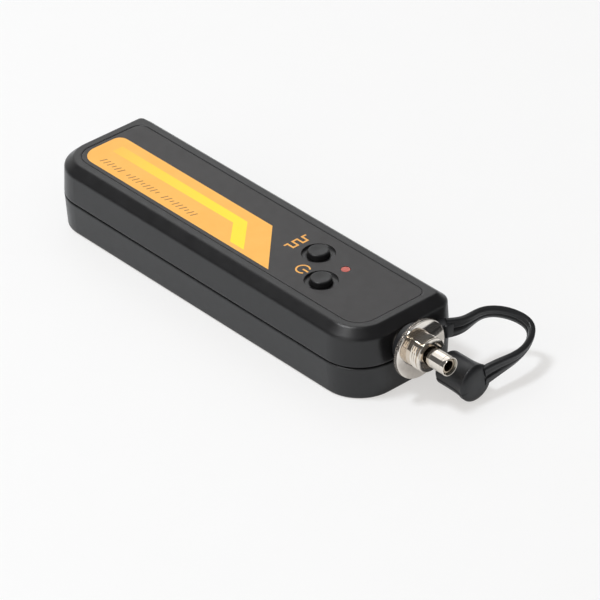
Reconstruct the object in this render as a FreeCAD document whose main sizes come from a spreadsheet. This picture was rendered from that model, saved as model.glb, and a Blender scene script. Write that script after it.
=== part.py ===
import FreeCAD, Part
import math
import os
import Sketcher

# Visual fault locator: a pocket red-light source for fibre links, in millimetres.
# +X runs towards the fibre adapter, +Y to the far side, +Z up.
# The origin is the centre of the housing's underside.

V = FreeCAD.Vector
doc = FreeCAD.newDocument("visual_fault_locator")
sheet = doc.addObject("Spreadsheet::Sheet", "dims")

SIZES = [
    ("half_length", 52.0, "housing, origin to the adapter end at the seam"),
    ("half_width", 14.4, "housing, origin to the long side at the seam"),
    ("height", 17.0, "housing, underside to top face"),
    ("seam_low", 8.0, "top edge of the lower shell's outer wall"),
    ("seam_high", 8.3, "lower edge of the upper shell's outer wall"),
    ("bevel_start", 15.05, "height where the top bevel starts"),
    ("near_radius", 9.6, "plan radius of the two near corners at the seam"),
    ("far_radius", 3.6, "plan radius of the two far corners at the seam"),
    ("draft_low", 0.42, "inset of the underside from the seam"),
    ("draft_high", 0.34, "inset at the bevel's lower edge from the seam"),
    ("bevel_inset", 2.6, "inset of the top face from the seam"),
    ("edge_round", 0.5, "rounding of the top bevel's edges"),
    ("seam_round", 0.2, "rounding of the edges along the seam"),
    ("wall", 1.5, "shell wall"),
    ("end_wall", 1.8, "shell wall at both ends"),
    ("floor", 1.6, "lower shell floor"),
    ("ceiling", 15.5, "underside of the upper shell's roof"),
    ("lip_rise", 1.3, "height of the lower shell's inner lip"),
    ("lip_inset", 0.85, "outer face of the lip, in from the seam"),
    ("label_inset", 4.4, "label edge, in from the seam outline"),
    ("label_radius", 4.9, "label corner radius"),
    ("label_depth", 0.2, "depth of the label's recess"),
    ("film", 0.18, "label film thickness"),
    ("axis_height", 11.2, "height of the optical axis"),
    ("flange_front", 56.36, "front face of the adapter flange"),
    ("flange_thick", 1.06, "adapter flange"),
    ("flange_radius", 6.9, "adapter flange"),
    ("neck_radius", 3.6, "adapter neck through the end wall"),
    ("neck_back", 46.0, "inner end of the adapter neck"),
    ("thread_radius", 4.0, "adapter thread, M8 x 0.75"),
    ("thread_front", 59.45, "front end of the threaded barrel"),
    ("recess_radius", 3.05, "ring-shaped recess round the ferrule tube"),
    ("recess_depth", 1.2, "ring-shaped recess"),
    ("tube_radius", 2.15, "ferrule tube outside"),
    ("tube_bore", 1.62, "ferrule tube inside"),
    ("tube_mouth", 1.55, "mouth of the ferrule tube"),
    ("tube_front", 65.25, "front end of the ferrule tube"),
    ("sleeve_bore", 1.25, "split sleeve, for a 2.5 mm ferrule"),
    ("sleeve_radius", 1.6, "split sleeve outside"),
    ("sleeve_back", 53.6, "inner end of the split sleeve"),
    ("sleeve_slit", 0.5, "slit along the sleeve"),
    ("collar_thick", 1.6, "anti-rotation collar"),
    ("collar_width", 13.0, "anti-rotation collar"),
    ("collar_height", 8.0, "anti-rotation collar"),
    ("laser_back", 32.0, "back end of the laser barrel"),
    ("laser_radius", 4.0, "laser barrel"),
    ("can_radius", 2.8, "laser diode can"),
    ("lens_radius", 2.5, "collimating lens"),
    ("button_radius", 2.4, "button cap"),
    ("button_top", 17.9, "top of the button caps"),
    ("button_recess", 3.8, "radius of the shallow recess round a button"),
    ("recess_floor", 16.4, "floor of that recess"),
    ("mode_x", 20.5, "mode button centre"),
    ("mode_y", 3.3, "mode button centre"),
    ("power_x", 28.8, "power button centre"),
    ("power_y", -3.4, "power button centre"),
    ("lamp_x", 29.2, "status lamp centre"),
    ("lamp_y", 3.3, "status lamp centre"),
    ("board_top", 12.2, "upper face of the circuit board"),
    ("board_thick", 1.2, "circuit board"),
    ("board_back", 0.4, "board end towards the cells"),
    ("board_front", 31.2, "board end towards the laser"),
    ("board_half", 7.2, "half width of the board"),
    ("cell_radius", 5.25, "AAA cell"),
    ("cell_length", 44.5, "AAA cell with its nub"),
    ("cell_nub", 1.9, "radius of the cell's nub"),
    ("cell_pitch", 5.45, "cell centre, out from the middle"),
    ("cell_height", 7.1, "cell axis height"),
    ("cell_back", -47.15, "cell end at the far end"),
    ("divider", -0.35, "wall between the cells and the board"),
    ("boss_radius", 2.6, "screw bosses"),
    ("boss_y", 10.2, "screw bosses"),
    ("boss_back", 1.6, "screw bosses next to the divider"),
    ("boss_front", 38.0, "screw bosses next to the laser"),
    ("screw_radius", 0.8, "case screw shank"),
    ("screw_head", 1.9, "case screw head"),
    ("door_half", 10.9, "half width of the door opening"),
    ("door_front", -4.0, "door end nearest the middle"),
    ("door_tongue", 0.6, "tongue along each side of the door"),
    ("cap_x", 57.5, "open end of the dust cap"),
    ("cap_y", 6.65, "dust cap axis"),
    ("cap_z", 4.42, "dust cap axis"),
    ("cap_radius", 3.9, "dust cap body"),
    ("cap_length", 9.45, "dust cap with its closed head"),
    ("cap_bore", 2.25, "dust cap bore"),
    ("cap_bore_depth", 7.0, "dust cap bore"),
    ("head_radius", 4.4, "closed head of the dust cap"),
    ("head_thick", 1.3, "closed head of the dust cap"),
    ("eye_back", 52.4, "eye round the adapter neck, back face"),
    ("eye_thick", 2.5, "eye round the adapter neck"),
    ("eye_radius", 4.6, "eye round the adapter neck"),
    ("eye_bore", 3.66, "bore of the eye"),
    ("tab_height", 3.6, "tab that carries the strap, beside the eye"),
    ("tab_reach", 9.6, "tab, out from the optical axis"),
    ("root_front", 55.4, "front of the block where the strap starts"),
    ("root_height", 3.4, "block where the strap starts"),
    ("strap_thick", 1.7, "strap band"),
    ("strap_height", 3.2, "strap band at the far side of its loop"),
    ("strap_height_eye", 4.6, "strap band where it leaves the eye"),
    ("strap_height_cap", 4.4, "strap band where it meets the cap"),
]
for row, (alias, value, note) in enumerate(SIZES, start=1):
    sheet.set("A%d" % row, alias.replace("_", " "))
    sheet.set("B%d" % row, str(value))
    sheet.set("C%d" % row, note)
    sheet.setAlias("B%d" % row, alias)
doc.recompute()

ALONG_X = FreeCAD.Rotation(V(0, 1, 0), 90)
UPRIGHT = FreeCAD.Rotation()


def d(text):
    """Turns bare size names into references to the sheet."""
    out = ""
    word = ""
    for ch in text + " ":
        if ch.isalpha() or ch == "_":
            word = word + ch
        else:
            if word:
                out = out + "dims." + word
            word = ""
            out = out + ch
    return out.strip()


def bind(obj, prop, text):
    obj.setExpression(prop, d(text))


def place(obj, x, y, z, rot=UPRIGHT):
    obj.Placement = FreeCAD.Placement(V(0, 0, 0), rot)
    for key, text in (("x", x), ("y", y), ("z", z)):
        bind(obj, "Placement.Base." + key, str(text))


def block(name, x, y, z, length, width, height):
    obj = doc.addObject("Part::Box", name)
    bind(obj, "Length", str(length))
    bind(obj, "Width", str(width))
    bind(obj, "Height", str(height))
    place(obj, x, y, z)
    return obj


def rod(name, x, y, z, radius, length, rot=UPRIGHT):
    obj = doc.addObject("Part::Cylinder", name)
    bind(obj, "Radius", str(radius))
    bind(obj, "Height", str(length))
    place(obj, x, y, z, rot)
    return obj


def axle(name, x, radius, length, y="0", z="axis_height"):
    return rod(name, x, y, z, radius, length, ALONG_X)


def join(name, shapes):
    obj = doc.addObject("Part::MultiFuse", name)
    obj.Shapes = shapes
    return obj


def carve(name, base, tools):
    tool = tools[0]
    if len(tools) > 1:
        tool = join(name + "_tools", tools)
    obj = doc.addObject("Part::Cut", name)
    obj.Base = base
    obj.Tool = tool
    return obj


def rounded(name, z, half_x, half_y, radii, start, body=None):
    """Rounded rectangle sketch, bound to the sheet: half sizes, and radii of the near and far corners."""
    if body:
        sk = body.newObject("Sketcher::SketchObject", name)
    else:
        sk = doc.addObject("Sketcher::SketchObject", name)
    hx, hy, near, far = start
    sk.addGeometry(Part.LineSegment(V(near - hx, -hy, 0), V(hx - near, -hy, 0)), False)
    sk.addGeometry(Part.LineSegment(V(hx, near - hy, 0), V(hx, hy - far, 0)), False)
    sk.addGeometry(Part.LineSegment(V(hx - far, hy, 0), V(far - hx, hy, 0)), False)
    sk.addGeometry(Part.LineSegment(V(-hx, hy - far, 0), V(-hx, near - hy, 0)), False)
    corners = (
        (hx - near, near - hy, near, -90),
        (hx - far, hy - far, far, 0),
        (far - hx, hy - far, far, 90),
        (near - hx, near - hy, near, 180),
    )
    for cx, cy, r, begin in corners:
        circle = Part.Circle(V(cx, cy, 0), V(0, 0, 1), r)
        first = math.radians(begin)
        sk.addGeometry(Part.ArcOfCircle(circle, first, first + math.pi / 2), False)
    for side in range(4):
        sk.addConstraint(Sketcher.Constraint("Tangent", side, 2, 4 + side, 1))
        sk.addConstraint(Sketcher.Constraint("Tangent", 4 + side, 2, (side + 1) % 4, 1))
    sk.addConstraint(Sketcher.Constraint("Horizontal", 0))
    sk.addConstraint(Sketcher.Constraint("Vertical", 1))
    sk.addConstraint(Sketcher.Constraint("Horizontal", 2))
    sk.addConstraint(Sketcher.Constraint("Vertical", 3))
    sk.addConstraint(Sketcher.Constraint("Equal", 4, 7))
    sk.addConstraint(Sketcher.Constraint("Equal", 5, 6))
    named = (
        ("near", Sketcher.Constraint("Radius", 4, near), radii[0]),
        ("far", Sketcher.Constraint("Radius", 5, far), radii[1]),
        ("right", Sketcher.Constraint("DistanceX", -1, 1, 1, 1, hx), half_x),
        ("left", Sketcher.Constraint("DistanceX", 3, 1, -1, 1, hx), half_x),
        ("back", Sketcher.Constraint("DistanceY", -1, 1, 2, 1, hy), half_y),
        ("front", Sketcher.Constraint("DistanceY", 0, 1, -1, 1, hy), half_y),
    )
    for label, constraint, text in named:
        index = sk.addConstraint(constraint)
        sk.renameConstraint(index, label)
        sk.setExpression("Constraints." + label, d(text))
    place(sk, "0", "0", z)
    return sk


def prism(name, sections):
    obj = doc.addObject("Part::Loft", name)
    obj.Sections = sections
    obj.Solid = True
    obj.Ruled = True
    return obj


def softened(name, base, levels):
    """Rounds the edges that lie flat at each given height."""
    obj = doc.addObject("Part::Fillet", name)
    obj.Base = base
    doc.recompute()
    picked = []
    for index, edge in enumerate(base.Shape.Edges, start=1):
        low = edge.BoundBox.ZMin
        high = edge.BoundBox.ZMax
        for level, radius in levels:
            if abs(low - level) < 0.001 and abs(high - level) < 0.001:
                picked.append((index, radius, radius))
    obj.Edges = picked
    return obj


def size(alias):
    return float(sheet.get(alias))


def shrunk(name, z, inset, drawn):
    """The seam outline moved inwards; radii and sizes shrink together."""
    start = (52.0 - drawn, 14.4 - drawn, 9.6 - drawn, 3.6 - drawn)
    less = " - (" + inset + ")"
    return rounded(name, z, "half_length" + less, "half_width" + less,
                   ("near_radius" + less, "far_radius" + less), start)


def hollow(name, z, inset, drawn):
    """The inside of the shells: thicker at the two ends than at the sides."""
    start = (51.7 - drawn, 14.4 - drawn, 9.6 - drawn, 3.6 - drawn)
    less = " - (" + inset + ")"
    return rounded(name, z, "half_length - (end_wall - wall)" + less, "half_width" + less,
                   ("near_radius" + less, "far_radius" + less), start)


# Screw places: the name of the X size, and the side in Y.
SCREW_PLACES = (("boss_back", 1), ("boss_back", -1), ("boss_front", 1), ("boss_front", -1))

# ---- lower shell ---------------------------------------------------------------------------
low_sharp = prism("low_sharp", [
    shrunk("low_foot", "0", "draft_low + 0.35", 0.77),
    shrunk("low_edge", "0.35", "draft_low", 0.42),
    shrunk("low_rim", "seam_low", "0 * wall", 0.0),
])
low_outer = softened("low_outer", low_sharp, [(size("seam_low"), size("seam_round"))])
lip_outer = prism("lip_outer", [
    shrunk("lip_foot", "seam_low - 1", "lip_inset", 0.85),
    shrunk("lip_head", "seam_low + lip_rise", "lip_inset", 0.85),
])
low_hollow = prism("low_hollow", [
    hollow("low_hollow_foot", "floor", "wall + draft_low", 1.92),
    hollow("low_hollow_head", "seam_low + lip_rise + 1", "wall", 1.5),
])
low_case = carve("low_case", join("low_block", [low_outer, lip_outer]), [low_hollow])

bosses_low = []
for n, (bx, side) in enumerate(SCREW_PLACES):
    by = "%d * boss_y" % side
    bosses_low.append(rod("low_boss_%d" % n, bx, by, "floor - 0.4", "boss_radius", "seam_low - floor + 0.4"))
divider_wall = block("divider_wall", "divider", "-half_width + 1", "floor - 0.4",
                     "1.2", "2 * half_width - 2", "6.2")
board_posts = [
    rod("board_post_back", "5", "0", "floor - 0.4", "1.5", "board_top - board_thick - floor + 0.4"),
    rod("board_post_front", "24", "0", "floor - 0.4", "1.5", "board_top - board_thick - floor + 0.4"),
]
saddle_low = block("saddle_low", "neck_back - 0.8", "-9", "floor - 0.4",
                   "1.4", "18", "seam_low - floor + 0.4")
low_full = join("low_full", [low_case, divider_wall, saddle_low] + bosses_low + board_posts)

neck_hole = axle("neck_hole", "half_length - 3", "neck_radius + 0.1", "6")
saddle_hole = axle("saddle_hole", "neck_back - 3", "laser_radius + 0.06", "5")
low_tools = [neck_hole, saddle_hole]
for n, (bx, side) in enumerate(SCREW_PLACES):
    by = "%d * boss_y" % side
    low_tools.append(rod("low_bore_%d" % n, bx, by, "-1", "screw_radius + 0.3", "12"))
    low_tools.append(rod("low_sink_%d" % n, bx, by, "-1", "screw_head + 0.2", "3.1"))
low_tools.append(block("door_way", "-half_length - 4", "-door_half - 0.15", "-1",
                       "half_length + 4 + door_front + 0.15", "2 * door_half + 0.3", "1 + floor + 0.05"))
low_tools.append(block("door_groove", "-half_length - 4", "-door_half - door_tongue - 0.15", "0.5",
                       "half_length + 4 + door_front + 0.15", "2 * (door_half + door_tongue) + 0.3", "0.8"))
bottom_shell = carve("bottom_shell", low_full, low_tools)

# ---- upper shell ---------------------------------------------------------------------------
top_sharp = prism("top_sharp", [
    shrunk("top_rim", "seam_high", "0 * wall", 0.0),
    shrunk("top_bevel", "bevel_start", "draft_high", 0.34),
    shrunk("top_face", "height", "bevel_inset", 2.6),
])
top_outer = softened("top_outer", top_sharp, [
    (size("seam_high"), size("seam_round")),
    (size("bevel_start"), 1.6 * size("edge_round")),
    (size("height"), size("edge_round")),
])
top_hollow = prism("top_hollow", [
    hollow("top_hollow_foot", "seam_high - 1", "wall", 1.5),
    hollow("top_hollow_bend", "bevel_start - 1.2", "wall + draft_high", 1.84),
    hollow("top_hollow_head", "ceiling", "wall + bevel_inset - 0.9", 3.2),
])
lip_room = prism("lip_room", [
    shrunk("lip_room_foot", "seam_high - 1", "lip_inset - 0.05", 0.8),
    shrunk("lip_room_head", "seam_low + lip_rise + 0.1", "lip_inset - 0.05", 0.8),
])
label_room = prism("label_room", [
    rounded("label_room_foot", "height - label_depth", "half_length - label_inset",
            "half_width - label_inset", ("label_radius", "label_radius - 2.4"), (47.6, 10.0, 4.9, 2.5)),
    rounded("label_room_head", "height + 1", "half_length - label_inset",
            "half_width - label_inset", ("label_radius", "label_radius - 2.4"), (47.6, 10.0, 4.9, 2.5)),
])
lip_core = prism("lip_core", [
    hollow("lip_core_foot", "seam_high - 2", "wall + 0.3", 1.8),
    hollow("lip_core_head", "seam_low + lip_rise + 1", "wall + 0.3", 1.8),
])
lip_ring = carve("lip_ring", lip_room, [lip_core])
kept_inside = [
    block("saddle_top", "neck_back - 0.8", "-9", "seam_low + lip_rise + 0.2", "1.4", "18", "7"),
]
for n, (bx, side) in enumerate(SCREW_PLACES):
    by = "%d * boss_y" % side
    kept_inside.append(rod("top_boss_%d" % n, bx, by, "seam_low - 2", "boss_radius - 0.1", "12"))
top_voids = carve("top_voids", top_hollow, kept_inside)
top_case = carve("top_case", top_outer, [top_voids, lip_ring, label_room])
top_tools = [
    axle("neck_hole_top", "half_length - 3", "neck_radius + 0.1", "6"),
    axle("saddle_hole_top", "neck_back - 3", "laser_radius + 0.06", "5"),
    rod("mode_recess", "mode_x", "mode_y", "recess_floor", "button_recess", "3"),
    rod("power_recess", "power_x", "power_y", "recess_floor", "button_recess", "3"),
    rod("mode_hole", "mode_x", "mode_y", "ceiling - 2", "button_radius + 0.15", "6"),
    rod("power_hole", "power_x", "power_y", "ceiling - 2", "button_radius + 0.15", "6"),
    rod("lamp_hole", "lamp_x", "lamp_y", "ceiling - 2", "1.1", "6"),
]
for n, (bx, side) in enumerate(SCREW_PLACES):
    by = "%d * boss_y" % side
    top_tools.append(rod("top_bore_%d" % n, bx, by, "seam_low - 1", "screw_radius + 0.05", "6.6"))
top_shell = carve("top_shell", top_case, top_tools)

# ---- label film ------------------------------------------------------------------------------
label_film = doc.addObject("PartDesign::Body", "label_film")
label_sketch = rounded("label_outline", "height - label_depth", "half_length - label_inset - 0.15",
                       "half_width - label_inset - 0.15", ("label_radius - 0.15", "label_radius - 2.55"),
                       (47.45, 9.85, 4.75, 2.35), label_film)
label_pad = label_film.newObject("PartDesign::Pad", "label_sheet")
label_pad.Profile = label_sketch
bind(label_pad, "Length", "film")
label_holes = label_film.newObject("Sketcher::SketchObject", "label_holes")
place(label_holes, "0", "0", "height - label_depth + film")
for n, (px, py, pr, at) in enumerate((("mode_x", "mode_y", "button_recess", (20.5, 3.3, 3.8)),
                                      ("power_x", "power_y", "button_recess", (28.8, -3.4, 3.8)),
                                      ("lamp_x", "lamp_y", "1.1", (29.2, 3.3, 1.1)))):
    circle = Part.Circle(V(at[0], at[1], 0), V(0, 0, 1), at[2])
    label_holes.addGeometry(circle, False)
    label_holes.addConstraint(Sketcher.Constraint("DistanceX", -1, 1, n, 3, at[0]))
    label_holes.setExpression("Constraints[%d]" % (3 * n), d(px))
    label_holes.addConstraint(Sketcher.Constraint("DistanceY", -1, 1, n, 3, at[1]))
    label_holes.setExpression("Constraints[%d]" % (3 * n + 1), d(py))
    label_holes.addConstraint(Sketcher.Constraint("Radius", n, at[2]))
    label_holes.setExpression("Constraints[%d]" % (3 * n + 2), d(pr))
label_cut = label_film.newObject("PartDesign::Pocket", "label_windows")
label_cut.Profile = label_holes
label_cut.Type = "ThroughAll"

# ---- battery door ----------------------------------------------------------------------------
door_plate = block("door_plate", "-half_length - 2", "-door_half", "0.1",
                   "half_length + 2 + door_front", "2 * door_half", "1.4")
door_rails = block("door_rails", "-half_length - 2", "-door_half - door_tongue", "0.65",
                   "half_length + 2 + door_front", "2 * (door_half + door_tongue)", "0.5")
door_limit = prism("door_limit", [
    shrunk("door_limit_foot", "0", "draft_low + 0.1", 0.52),
    shrunk("door_limit_head", "2.5", "draft_low", 0.42),
])
door_blank = doc.addObject("Part::MultiCommon", "door_blank")
door_blank.Shapes = [join("door_cross", [door_plate, door_rails]), door_limit]
grips = []
for n in range(5):
    grips.append(block("door_grip_%d" % n, "-14 - %.1f" % (2.4 * n), "-5", "-1", "1.2", "10", "1.6"))
battery_door = carve("battery_door", door_blank, grips)

# ---- buttons and switches ----------------------------------------------------------------------


def button(name, x, y):
    cap = rod(name + "_cap", x, y, "ceiling - 0.65", "button_radius", "button_top - ceiling + 0.65")
    foot = rod(name + "_foot", x, y, "ceiling - 0.75", "button_radius + 0.7", "0.6")
    return softened(name, join(name + "_body", [cap, foot]), [(size("button_top"), 0.35)])


mode_button = button("mode_button", "mode_x", "mode_y")
power_button = button("power_button", "power_x", "power_y")


def switch(name, x, y):
    case = block(name + "_case", x + " - 2.25", y + " - 2.25", "board_top", "4.5", "4.5", "1.5")
    stem = rod(name + "_stem", x, y, "board_top + 1.4", "1.3", "0.65")
    return join(name, [case, stem])


mode_switch = switch("mode_switch", "mode_x", "mode_y")
power_switch = switch("power_switch", "power_x", "power_y")
lamp_base = rod("lamp_base", "lamp_x", "lamp_y", "board_top", "1.35", "0.8")
lamp_stem = rod("lamp_stem", "lamp_x", "lamp_y", "board_top", "1.0", "height - board_top - 0.05")
status_lamp = join("status_lamp", [lamp_base, lamp_stem])

# ---- circuit board -----------------------------------------------------------------------------
circuit_board = doc.addObject("PartDesign::Body", "circuit_board")
board_sketch = rounded("board_outline", "board_top - board_thick", "(board_front - board_back) / 2",
                       "board_half", ("1.0", "1.0"), (15.4, 7.2, 1.0, 1.0), circuit_board)
bind(board_sketch, "Placement.Base.x", "(board_front + board_back) / 2")
board_pad = circuit_board.newObject("PartDesign::Pad", "board_sheet")
board_pad.Profile = board_sketch
bind(board_pad, "Length", "board_thick")

driver_chip = block("driver_chip", "6", "-3", "board_top", "5", "4", "1.5")
smoothing_capacitor = rod("smoothing_capacitor", "13.6", "-3.6", "board_top", "1.6", "2.6")

# ---- laser -------------------------------------------------------------------------------------
laser_tube = axle("laser_tube", "laser_back", "laser_radius", "neck_back - laser_back - 0.02")
laser_barrel = carve("laser_barrel", laser_tube, [
    axle("laser_can_room", "laser_back - 1", "can_radius + 0.02", "5.5"),
    axle("laser_way", "laser_back + 1", "2.0", "8"),
    axle("laser_lens_room", "laser_back + 7", "lens_radius + 0.02", "4.5"),
    axle("laser_exit", "laser_back + 2", "1.2", "20"),
])
can_shell = axle("can_shell", "laser_back + 1.0", "can_radius", "1.2")
can_cap = axle("can_cap", "laser_back + 1.2", "1.9", "3.2")
can_pins = []
for n, (py, pz) in enumerate(((1.0, 0.0), (-1.0, 0.0), (0.0, -1.0))):
    can_pins.append(axle("can_pin_%d" % n, "board_front + 0.05", "0.22", "laser_back - board_front + 1.5",
                         "%.1f" % py, "axis_height + %.1f" % pz if pz >= 0 else "axis_height - %.1f" % -pz))
laser_diode = join("laser_diode", [can_shell, can_cap] + can_pins)
lens_disc = axle("lens_disc", "laser_back + 7.3", "lens_radius", "1.6")
lens_ball = doc.addObject("Part::Sphere", "lens_ball")
bind(lens_ball, "Radius", "4.2")
place(lens_ball, "laser_back + 6.4", "0", "axis_height")
lens_limit = axle("lens_limit", "laser_back + 7.3", "lens_radius - 0.25", "4")
lens_bulge = doc.addObject("Part::MultiCommon", "lens_bulge")
lens_bulge.Shapes = [lens_ball, lens_limit]
collimating_lens = join("collimating_lens", [lens_disc, lens_bulge])

# ---- fibre adapter -------------------------------------------------------------------------------
adapter_blank = join("adapter_blank", [
    axle("adapter_neck", "neck_back", "neck_radius", "flange_front - neck_back"),
    axle("adapter_flange", "flange_front - flange_thick", "flange_radius", "flange_thick"),
    axle("adapter_barrel", "flange_front - 0.5", "thread_radius", "thread_front - flange_front + 0.5"),
])
ring_outer = axle("ring_outer", "thread_front - recess_depth", "recess_radius", "recess_depth + 1")
ring_inner = axle("ring_inner", "thread_front - recess_depth - 1", "tube_radius - 0.2", "recess_depth + 3")
adapter_body = carve("adapter_body", adapter_blank, [
    axle("adapter_way", "neck_back - 1", "tube_radius + 0.01", "30"),
    carve("adapter_ring_room", ring_outer, [ring_inner]),
    block("adapter_key_way", "thread_front - 1.6", "1.6", "axis_height - 0.9", "3", "3", "1.8"),
])
tube_blank = axle("tube_blank", "neck_back + 0.4", "tube_radius", "tube_front - neck_back - 0.4")
ferrule_tube = carve("ferrule_tube", tube_blank, [
    axle("tube_room", "sleeve_back - 0.05", "tube_bore", "tube_front - sleeve_back - 0.35"),
    axle("tube_lip", "tube_front - 1", "tube_mouth", "2"),
    axle("tube_light_way", "neck_back - 1", "0.9", "12"),
])
sleeve_blank = axle("sleeve_blank", "sleeve_back", "sleeve_radius", "tube_front - sleeve_back - 0.5")
split_sleeve = carve("split_sleeve", sleeve_blank, [
    axle("sleeve_way", "sleeve_back - 1", "sleeve_bore", "20"),
    block("sleeve_gap", "sleeve_back - 1", "-sleeve_slit / 2", "axis_height", "20", "sleeve_slit", "3"),
])
collar_blank = block("collar_blank", "half_length - end_wall - 1.9 - collar_thick", "-collar_width / 2",
                     "axis_height - collar_height / 2", "collar_thick", "collar_width", "collar_height")
adapter_collar = carve("adapter_collar", collar_blank,
                       [axle("collar_bore", "neck_back - 1", "neck_radius + 0.01", "12")])

# ---- cells, contacts and screws ------------------------------------------------------------------


def cell(name, y, nub_forward):
    if nub_forward:
        can = axle(name + "_can", "cell_back", "cell_radius", "cell_length - 1.2", y, "cell_height")
        nub = axle(name + "_nub", "cell_back + cell_length - 1.6", "cell_nub", "1.6", y, "cell_height")
    else:
        can = axle(name + "_can", "cell_back + 1.2", "cell_radius", "cell_length - 1.2", y, "cell_height")
        nub = axle(name + "_nub", "cell_back", "cell_nub", "1.6", y, "cell_height")
    return join(name, [can, nub])


cell_left = cell("cell_left", "cell_pitch", True)
cell_right = cell("cell_right", "-cell_pitch", False)


def plate(name, x, y, width):
    return block(name, x, y, "cell_height - 3.6", "0.3", width, "7.2")


bridge_plate = join("bridge_plate", [
    plate("bridge_strip", "cell_back - 2.26", "-7", "14"),
    axle("bridge_button", "cell_back - 2", "2.2", "1.98", "-cell_pitch", "cell_height"),
])
plate_left = join("plate_left", [
    plate("left_strip", "divider - 0.32", "cell_pitch - 2.9", "5.8"),
    axle("left_button", "cell_back + cell_length + 0.02", "2.2", "2.05", "cell_pitch", "cell_height"),
])
plate_right = plate("plate_right", "divider - 0.32", "-cell_pitch - 2.9", "5.8")


def spring(name, x, y, step):
    """Conical contact spring: three turns, each narrower than the last."""
    turns = []
    for n in range(3):
        ring = doc.addObject("Part::Torus", "%s_turn_%d" % (name, n))
        bind(ring, "Radius1", "2.9 - %.2f" % (0.4 * n))
        bind(ring, "Radius2", "0.37")
        place(ring, x + " + %.2f" % (step * (0.37 + 0.6 * n)), y, "cell_height", ALONG_X)
        turns.append(ring)
    return join(name, turns)


spring_far = spring("spring_far", "cell_back - 1.94", "cell_pitch", 1)
spring_near = spring("spring_near", "cell_back + cell_length + 1.94", "-cell_pitch", -1)

# ---- case screws ---------------------------------------------------------------------------------
screws = []
for n, (bx, side) in enumerate(SCREW_PLACES):
    by = "%d * boss_y" % side
    head = rod("screw_head_%d" % n, bx, by, "0.6", "screw_head", "1.4")
    shank = rod("screw_shank_%d" % n, bx, by, "0.8", "screw_radius", "12")
    slot_a = block("screw_slot_a_%d" % n, bx + " - 1.2", by + " - 0.25", "-0.4", "2.4", "0.5", "1.7")
    slot_b = block("screw_slot_b_%d" % n, bx + " - 0.25", by + " - 1.2", "-0.4", "0.5", "2.4", "1.7")
    blank = join("screw_blank_%d" % n, [head, shank])
    screws.append(carve("case_screw_%d" % (n + 1), blank, [slot_a, slot_b]))

# ---- dust cap with its strap and eye, one rubber moulding ---------------------------------------------
cap_body = axle("cap_body", "cap_x", "cap_radius", "cap_length - 0.6", "cap_y", "cap_z")
cap_head = axle("cap_head", "cap_x + cap_length - head_thick", "head_radius", "head_thick", "cap_y", "cap_z")
eye_disc = axle("eye_disc", "eye_back", "eye_radius", "eye_thick")
eye_tab = block("eye_tab", "eye_back", "0", "axis_height - 0.2 - tab_height / 2",
                "eye_thick", "tab_reach", "tab_height")
strap_root = block("strap_root", "eye_back", "8.2", "axis_height - 0.2 - root_height / 2",
                   "root_front - eye_back", "2.5", "root_height")

# The strap's middle line lies in one tilted plane, which falls outwards and rises a little towards
# the far side. The route gives X and Y from eye to cap. The band stands upright where it leaves the
# eye and where it meets the cap, and across the tilted plane between them.
STRAP_FALL = 0.476
STRAP_RISE = 0.111
ROUTE = [
    (54.0, 9.3),
    (55.2, 13.0),
    (55.4, 18.0),
    (58.6, 23.6),
    (63.2, 25.4),
    (66.1, 21.4),
    (66.4, 13.4),
    (66.2, 8.7),
]
ROUTE_HEIGHT = 11.1
route = []
for x, y in ROUTE:
    fall = STRAP_FALL * (x - ROUTE[0][0])
    rise = STRAP_RISE * (y - ROUTE[0][1])
    route.append(V(x, y, ROUTE_HEIGHT - fall + rise))
curve = Part.BSplineCurve()
curve.interpolate(route)
strap_path = doc.addObject("Part::Feature", "strap_path")
strap_path.Shape = Part.Wire([curve.toShape()])


def strap_section(name, share, height, lean):
    """Section of the band at a share of the route's length; lean 0 is upright, 1 across the plane."""
    at = curve.parameterAtDistance(share * curve.length(), curve.FirstParameter)
    tangent = curve.tangent(at)[0]
    side = V(lean * STRAP_FALL, -lean * STRAP_RISE, 1).cross(tangent)
    side.normalize()
    up = tangent.cross(side)
    profile = doc.addObject("Part::Plane", name)
    bind(profile, "Length", "strap_thick")
    bind(profile, "Width", height)
    corner = curve.value(at) - side * (size("strap_thick") / 2) - up * (size(height) / 2)
    profile.Placement = FreeCAD.Placement(corner, FreeCAD.Rotation(side, up, side.cross(up), "ZXY"))
    return profile


strap_band = doc.addObject("Part::Sweep", "strap_band")
strap_band.Sections = [
    strap_section("strap_at_eye", 0.0, "strap_height_eye", 0.0),
    strap_section("strap_narrowed", 0.33, "strap_height", 1.0),
    strap_section("strap_widening", 0.67, "strap_height", 1.0),
    strap_section("strap_at_cap", 1.0, "strap_height_cap", 0.0),
]
strap_band.Spine = (strap_path, ["Edge1"])
strap_band.Solid = True
strap_band.Frenet = False
moulding = join("moulding", [cap_body, cap_head, eye_disc, eye_tab, strap_root, strap_band])
dust_cap = carve("dust_cap", moulding, [
    axle("cap_hollow", "cap_x - 1", "cap_bore", "cap_bore_depth + 1", "cap_y", "cap_z"),
    axle("eye_way", "eye_back - 1", "eye_bore", "eye_thick + 1.7"),
])

doc.recompute()

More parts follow.
